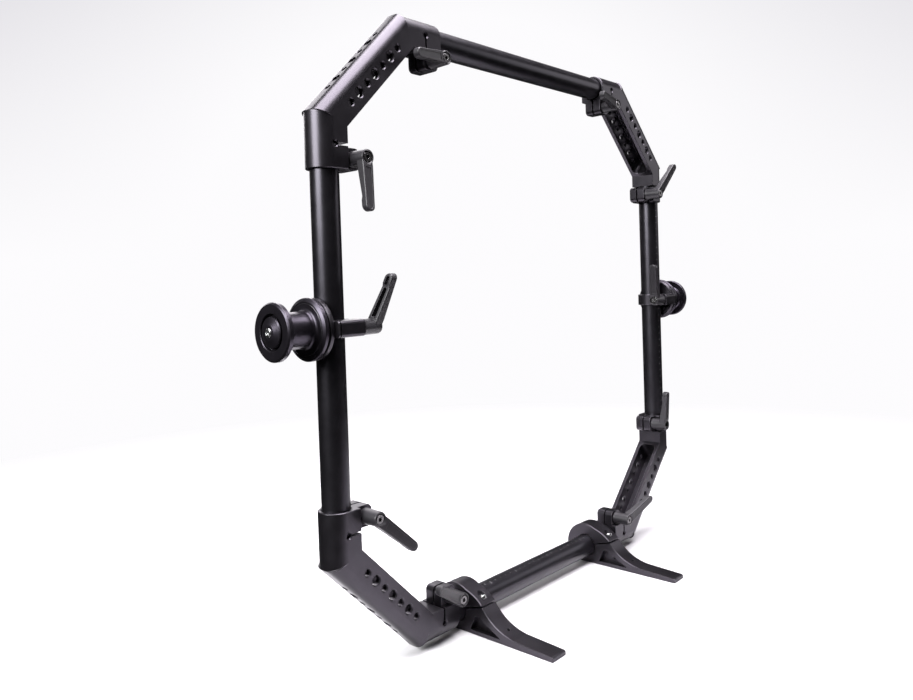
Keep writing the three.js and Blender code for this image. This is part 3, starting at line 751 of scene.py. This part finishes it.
def spool_screw_model():
    S = SPOOL
    root = S["plate_inner"] + S["screw_depth"]
    seat = S["cap_top"] - S["head_recess"] + GAP
    top = S["cap_top"] + S["head_rise"]
    shank, head = S["screw_shank"], S["screw_head"]
    screw = lathe("X", [(0, root), (shank - 0.5, root), (shank, root + 0.5), (shank, seat), (head, seat),
                        (head, top - 1.1), (head - 0.35, top - 0.35), (head - 1.2, top), (0, top)], 48)
    return finished(cut(screw, hex_socket("X", S["key"], top, S["key_depth"])), 25)


def spool_axle_model():
    S = SPOOL
    start = S["plate_outer"] - S["axle_depth"] + GAP
    end = S["face"] - S["recess_depth"]
    edge = 0.5
    shank = S["screw_shank"] + SCREW_FIT
    return finished(lathe("X", [(shank, start), (S["axle"] - edge, start), (S["axle"], start + edge),
                                (S["axle"], end - edge), (S["axle"] - edge, end), (shank, end)], 64))


def bearing_model():
    """A deep-groove bearing: two races with chamfered rims, and a shield set back between them."""
    S = SPOOL
    inside, outside, width = S["axle"] + 0.05, S["bearing"], S["bearing_width"]
    shield_in, shield_out, groove, edge = 8.2, 9.8, 0.5, 0.3
    profile = [(inside, edge), (inside + edge, 0), (shield_in, 0), (shield_in, groove),
               (shield_out, groove), (shield_out, 0), (outside - edge, 0), (outside, edge),
               (outside, width - edge), (outside - edge, width), (shield_out, width),
               (shield_out, width - groove), (shield_in, width - groove), (shield_in, width),
               (inside + edge, width), (inside, width - edge)]
    return finished(lathe("X", profile, 64))


spool_pieces = {
    "spool_clamp": (spool_clamp_model(), anodised),
    "spool": (spool_model(), turned_black),
    "spool_cap": (spool_cap_model(), turned_black),
    "spool_screw": (spool_screw_model(), bright_steel),
    "spool_axle": (spool_axle_model(), bright_steel),
}
bearing = bearing_model()
for side, sign, x in (("left", -1, left_x), ("right", 1, right_x)):
    origin = Vector((x, tube_y, middle(f"{side}_spool").z))
    outward = Vector((sign, 0, 0))
    placed = axes_matrix(origin, outward, Vector((0, 0, sign)))
    for name, (model, material) in spool_pieces.items():
        put(model, f"{side}_{name}", placed, material)
    for place in ("inner", "outer"):
        node = f"{side}_spool_{place}_bearing"
        low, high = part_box(node)
        start = min(abs(low.x - x), abs(high.x - x)) / MM
        put(bearing, node, placed @ Matrix.Translation((start * MM, 0, 0)), bright_steel)
discard(bearing, *[model for model, material in spool_pieces.values()])

# ---------- feet ----------
# Local frame: the bottom tube's axis; X along the tube, the toe points to -Y. Outlines are (y, z) points.
FOOT_HEEL_PULL = (1.5, -9)                     # past the split's end and below it
FOOT_SWEEP = ((-58, -12), (-88, -15.4))        # from the ear down to the toe
FOOT_POCKET_BACK = ((-26, -11), (-30, -2), (-37, -1))
FOOT_POCKET_FRONT, FOOT_POCKET_REAR = -68, -22
FOOT_POCKET_PULL = (-50, -9.5)
FOOT_WINDOW = ((-50, -14), (-41, -14), (-41, -7))
CAP_PULL = (-32, 21.5)


def on_split(along, above):
    """A point `along` the tilted split of the foot's clamp and `above` it."""
    tilt = math.radians(FOOT["tilt"])
    return (along * math.cos(tilt) + above * math.sin(tilt), above * math.cos(tilt) - along * math.sin(tilt))


def split_reach():
    """How far along its split the clamp's round outside reaches."""
    return math.sqrt(FOOT["radius"] ** 2 - FOOT["split"] ** 2)


def foot_profile():
    """The foot below its clamp's split, seen along the tube."""
    F = FOOT
    floor = -F["drop"]
    toe, heel, toe_top = -F["toe"], F["heel"], floor + F["toe_thick"]
    heel_top = (heel, floor + F["heel_rise"])
    rear = on_split(split_reach(), -F["split"])
    front = on_split(-F["ear"], -F["split"])
    profile = [(toe + 0.5, floor), (heel - 0.6, floor), (heel, floor + 0.6), heel_top]
    past, below = FOOT_HEEL_PULL
    profile += curve(heel_top, on_split(split_reach() + past, below), rear, 8)[1:]
    profile += curve(front, *FOOT_SWEEP, 22)
    return profile + [(toe + 1.6, toe_top), (toe, toe_top - 1.4), (toe, floor + 0.5)]


def foot_pocket():
    """The hollow in each side of the foot, between its base and its sweep."""
    base = FOOT["base_thick"] - FOOT["drop"]
    front = (FOOT_POCKET_FRONT, base)
    outline = [front, (FOOT_POCKET_REAR, base), *FOOT_POCKET_BACK]
    return outline + curve(outline[-1], FOOT_POCKET_PULL, front, 14)[1:-1]


def foot_screw_place(along):
    """Turns the screw's own frame, with its head up +Z, onto the split at `along`."""
    y, z = on_split(along, 0)
    return Matrix.Translation((0, y, z)) @ Matrix.Rotation(-math.radians(FOOT["tilt"]), 4, "X")


def foot_bore():
    """The clamp's bore, with chamfered mouths."""
    half, edge = FOOT["half"], FOOT["bore_chamfer"]
    bore = TUBE["radius"] + SLIDING_FIT
    return lathe("X", [(0, -half - 1), (bore + edge + 1, -half - 1), (bore, -half + edge),
                       (bore, half - edge), (bore + edge + 1, half + 1), (0, half + 1)], 96)


def foot_model():
    F = FOOT
    half = F["half"]
    body = soften(prism("YZ", foot_profile(), -half, half), 0.8, 3, 50)
    for side in (-1, 1):
        low, high = sorted((side * (half - F["pocket_depth"]), side * (half + 1)))
        cut(body, prism("YZ", foot_pocket(), low, high))
    cut(body, prism("YZ", FOOT_WINDOW, -half, half))
    cut(body, foot_bore())
    cut(body, rod("Z", F["mark_hole"], -F["drop"] - 1, 0, 24, (0, -F["mark_hole_at"], 0)))
    # the groove across the toe's end, half way up it
    groove, groove_half = -F["drop"] + F["toe_thick"] / 2, F["groove"] / 2
    cut(body, box(-half - 1, half + 1, -F["toe"] - 1, -F["toe"] + F["groove_depth"], groove - groove_half,
                  groove + groove_half))
    for along in (-F["front_screw"], F["rear_screw"]):
        hole = rod("Z", F["screw_shank"] + SCREW_FIT, -F["screw_depth"] - GAP, 2, 24)
        cut(body, moved(hole, foot_screw_place(along)))
    return finished(body)


def foot_cap_model():
    F = FOOT
    half = F["half"]
    reach = split_reach()
    foot_end = on_split(-F["ear"], F["split"])
    outline = [foot_end, on_split(reach, F["split"])]
    start = math.degrees(math.asin(F["split"] / F["radius"])) - F["tilt"]
    outline += arc(0, 0, F["radius"], start, F["ear_start"], 48)[1:]
    outline += curve(outline[-1], CAP_PULL, foot_end, 12)[1:-1]
    cap = soften(prism("YZ", outline, -half, half), 1.1, 3, 50)
    cut(cap, foot_bore())
    for along in (-F["front_screw"], F["rear_screw"]):
        place = foot_screw_place(along)
        cut(cap, moved(rod("Z", F["screw_shank"] + SCREW_FIT, -1, 30, 24), place),
            moved(rod("Z", F["counterbore"], F["head_seat"], 40, 40), place))
    return finished(cap)


def foot_screw_model():
    F = FOOT
    seat = F["head_seat"] + GAP
    top = seat + F["head_thick"]
    head = F["screw_head"]
    shank, depth = F["screw_shank"], F["screw_depth"]
    screw = lathe("Z", [(0, -depth), (shank - 0.5, -depth), (shank, -depth + 0.5), (shank, seat),
                        (head, seat), (head, top - 0.4), (head - 0.4, top), (0, top)], 40)
    return finished(cut(screw, hex_socket("Z", F["key"], top, F["key_depth"])))


foot, foot_cap, foot_screw = foot_model(), foot_cap_model(), foot_screw_model()
for side in ("left", "right"):
    origin = Vector((middle(f"{side}_foot").x, tube_y, bottom_z))
    placed = Matrix.Translation(origin)
    put(foot, f"{side}_foot", placed, anodised)
    put(foot_cap, f"{side}_foot_cap", placed, anodised)
    for place, along in (("front", -FOOT["front_screw"]), ("rear", FOOT["rear_screw"])):
        seat = foot_screw_place(along)
        seat.translation *= MM
        put(foot_screw, f"{side}_foot_{place}_screw", placed @ seat, bright_steel)
discard(foot, foot_cap, foot_screw)

# ---------- floor, light and camera ----------
# Places are in metres in the CAD frame; the camera's is given from the ring's centre.
FLOOR_RADIUS = 9.0
FLOOR_COLOUR = (0.60, 0.59, 0.61)
FLOOR_ROUGHNESS = 0.32
FLOOR_SPECULAR = 0.35
HAZE_START, HAZE_END = 0.55, 1.6       # where the floor fades into the backdrop's colour
TABLE_CENTRE = (0.15, 0, 0)            # the lit part of the surface, for what the object reflects
TABLE_START, TABLE_END = 0.46, 0.66
BACKDROP = (0.98, 0.972, 0.988)
BACKDROP_DIM = (0.50, 0.48, 0.54)      # its colour high up and far to the sides
DIM_HEIGHT = (0.04, 0.42)              # where it dims, as the height of a unit direction
DIM_AWAY = (0.34, 0.80)                # and as that direction's distance from FORWARD
ROOM = 0.02                            # the brightness of the unlit room that the object reflects
ROOM_COLOUR = (0.93, 0.92, 0.96)
CAMERA_PLACE = (-0.8422, -0.6391, 0.0571)
YAW, PITCH, ROLL = (math.radians(angle) for angle in (47.753, -1.159, -1.856))   # yaw is from +Y towards +X
LENS = 31.16
SHIFT = (-0.0012, -0.0591)
FORWARD = Vector((math.sin(YAW) * math.cos(PITCH), math.cos(YAW) * math.cos(PITCH), math.sin(PITCH)))
# name: place, target, size, power and colour
SOFTBOXES = {
    "overhead": ((0.1, -0.3, 2.3), (0.1, -0.3, 0.4), (1.9, 1.9), 200, (1, 0.97, 1)),
    "back_wall": ((0.9, 2.6, 1.9), (0, 0, 0.5), (2.6, 1.8), 60, (1, 0.97, 1)),
    "left_panel": ((-2.3, 0.1, 1.5), (0, 0, 0.6), (1.5, 1.6), 150, (0.98, 1, 0.98)),
    "right_panel": ((2.2, -1.3, 1.2), (0, 0, 0.4), (1.2, 1.2), 8, (1, 0.985, 1)),
}


def by_ray(tree, camera, others):
    """Shows one shader to the camera and another to every other ray."""
    path = tree.nodes.new("ShaderNodeLightPath")
    both_ways = add(tree, "ShaderNodeMixShader", {0: path.outputs["Is Camera Ray"], 1: others.outputs[0],
                                                  2: camera.outputs[0]})
    return both_ways.outputs[0]


def floor_material():
    """A pale floor that fades into the backdrop, and whose far part the object doesn't reflect."""
    material = bpy.data.materials.new("studio_floor")
    material.use_nodes = True
    tree = material.node_tree
    shader = tree.nodes["Principled BSDF"]
    shader.inputs["Base Color"].default_value = (*FLOOR_COLOUR, 1)
    shader.inputs["Roughness"].default_value = FLOOR_ROUGHNESS
    shader.inputs["Specular IOR Level"].default_value = FLOOR_SPECULAR
    place = add(tree, "ShaderNodeTexCoord").outputs["Object"]
    haze = ramp(tree, length_of(tree, place), HAZE_START, HAZE_END)
    unlit = ramp(tree, distance_to(tree, place, TABLE_CENTRE), TABLE_START, TABLE_END)
    backdrop = add(tree, "ShaderNodeEmission", {"Color": (*BACKDROP, 1), "Strength": 1.0})
    room = add(tree, "ShaderNodeEmission", {"Color": (*BACKDROP, 1), "Strength": ROOM})
    seen = add(tree, "ShaderNodeMixShader", {0: haze, 1: shader.outputs[0], 2: backdrop.outputs[0]})
    reflected = add(tree, "ShaderNodeMixShader", {0: unlit, 1: shader.outputs[0], 2: room.outputs[0]})
    tree.links.new(by_ray(tree, seen, reflected), tree.nodes["Material Output"].inputs["Surface"])
    return material


def make_floor():
    bm = bmesh.new()
    bmesh.ops.create_circle(bm, cap_ends=True, segments=96, radius=FLOOR_RADIUS)
    mesh = bpy.data.meshes.new("floor")
    bm.to_mesh(mesh)
    bm.free()
    floor = bpy.data.objects.new("floor", mesh)
    floor.location.z = cad_low.z
    mesh.materials.append(floor_material())
    bpy.context.scene.collection.objects.link(floor)


def softbox(name, place, target, size, power, colour):
    light = bpy.data.lights.new(name, "AREA")
    light.shape = "RECTANGLE"
    light.size, light.size_y = size
    light.energy = power
    light.color = colour
    lamp = bpy.data.objects.new(name, light)
    lamp.location = place
    lamp.rotation_euler = (Vector(target) - Vector(place)).to_track_quat("-Z", "Y").to_euler()
    bpy.context.scene.collection.objects.link(lamp)


def make_world():
    """A pale backdrop for the camera, dimmer away from its middle, and a dark room for reflections."""
    world = bpy.data.worlds.new("studio")
    bpy.context.scene.world = world
    world.use_nodes = True
    tree = world.node_tree
    seen = tree.nodes["Background"]
    direction = add(tree, "ShaderNodeTexCoord").outputs["Generated"]
    height = add(tree, "ShaderNodeSeparateXYZ", {"Vector": direction}).outputs["Z"]
    away = distance_to(tree, direction, FORWARD)
    dim = maths(tree, "MULTIPLY", ramp(tree, height, *DIM_HEIGHT), ramp(tree, away, *DIM_AWAY))
    tree.links.new(mix(tree, dim, BACKDROP, BACKDROP_DIM), seen.inputs["Color"])
    seen.inputs["Strength"].default_value = 1.0
    lit = add(tree, "ShaderNodeBackground", {"Color": (*ROOM_COLOUR, 1), "Strength": ROOM})
    tree.links.new(by_ray(tree, seen, lit), tree.nodes["World Output"].inputs["Surface"])


def make_camera():
    level = Vector((math.cos(YAW), -math.sin(YAW), 0))
    upright = level.cross(FORWARD)
    right = level * math.cos(ROLL) + upright * math.sin(ROLL)
    up = upright * math.cos(ROLL) - level * math.sin(ROLL)
    data = bpy.data.cameras.new("camera")
    data.sensor_width = 36
    data.lens = LENS
    data.shift_x, data.shift_y = SHIFT
    data.clip_start = 0.05
    data.clip_end = 50
    camera = bpy.data.objects.new("camera", data)
    matrix = Matrix((right, up, -FORWARD)).transposed().to_4x4()
    matrix.translation = ring_centre + Vector(CAMERA_PLACE)
    camera.matrix_world = matrix
    bpy.context.scene.collection.objects.link(camera)
    bpy.context.scene.camera = camera


make_floor()
make_world()
for name, settings in SOFTBOXES.items():
    softbox(name, *settings)
make_camera()
bpy.context.scene.view_settings.view_transform = "Standard"
